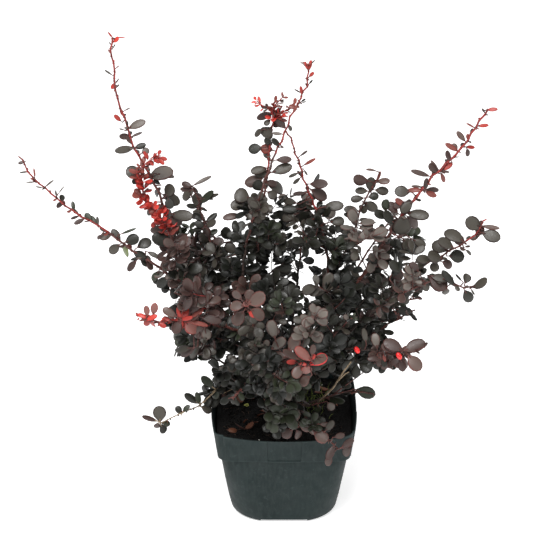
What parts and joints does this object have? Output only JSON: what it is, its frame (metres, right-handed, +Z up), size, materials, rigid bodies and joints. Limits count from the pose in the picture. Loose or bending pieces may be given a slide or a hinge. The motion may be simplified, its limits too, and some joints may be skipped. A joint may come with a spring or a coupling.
{
  "type": "potted japanese barberry shrub",
  "caption": "Dark red-leaved thorny shrub with long arching shoots, growing from a short woody trunk in a square tapered nursery pot filled with peat.",
  "frame": {"origin": "centre of the pot's flat underside, on the ground", "axes": "+Z up; +X to the right and -Y towards the viewer in the view that shows the long shoots spread to both sides"},
  "size_m": [0.5695, 0.3585, 0.6189],
  "materials": {
    "pot": "dark grey-green moulded plastic, satin",
    "peat": "moist dark peat",
    "bark": "thin red-brown bark",
    "leaves": "dark wine-coloured leaves on thin twigs"
  },
  "bodies": {
    "root": {"pot": "pot", "soil": "peat", "trunk": "bark", "bough_left_long": "bark", "foliage_left_long": "leaves", "bough_left_tall": "bark", "foliage_left_tall": "leaves", "bough_left_inner": "bark", "foliage_left_inner": "leaves", "bough_centre_left": "bark", "foliage_centre_left": "leaves", "bough_centre_tall": "bark", "foliage_centre_tall": "leaves", "bough_centre_cross": "bark", "foliage_centre_cross": "leaves", "bough_centre_right": "bark", "foliage_centre_right": "leaves", "bough_right_tall": "bark", "foliage_right_tall": "leaves", "bough_right_outer": "bark", "foliage_right_outer": "leaves", "bough_right_mid": "bark", "foliage_right_mid": "leaves", "bough_right_low": "bark", "foliage_right_low": "leaves", "bough_right_side": "bark", "foliage_right_side": "leaves", "bough_left_red": "bark", "foliage_left_red": "leaves", "bough_left_sprig": "bark", "foliage_left_sprig": "leaves", "bough_left_side": "bark", "foliage_left_side": "leaves", "bough_front_centre": "bark", "foliage_front_centre": "leaves", "bough_front_mid": "bark", "foliage_front_mid": "leaves", "bough_front_left": "bark", "foliage_front_left": "leaves", "bough_front_right": "bark", "foliage_front_right": "leaves", "bough_front_low_left": "bark", "foliage_front_low_left": "leaves", "bough_front_droop": "bark", "foliage_front_droop": "leaves", "bough_right_sprig": "bark", "foliage_right_sprig": "leaves", "bough_back_left": "bark", "foliage_back_left": "leaves", "bough_back_mid": "bark", "foliage_back_mid": "leaves", "bough_back_right": "bark", "foliage_back_right": "leaves", "bough_back_low_left": "bark", "foliage_back_low_left": "leaves", "bough_back_low_right": "bark", "foliage_back_low_right": "leaves", "bough_back_low_mid": "bark", "foliage_back_low_mid": "leaves"}
  },
  "joints": []
}
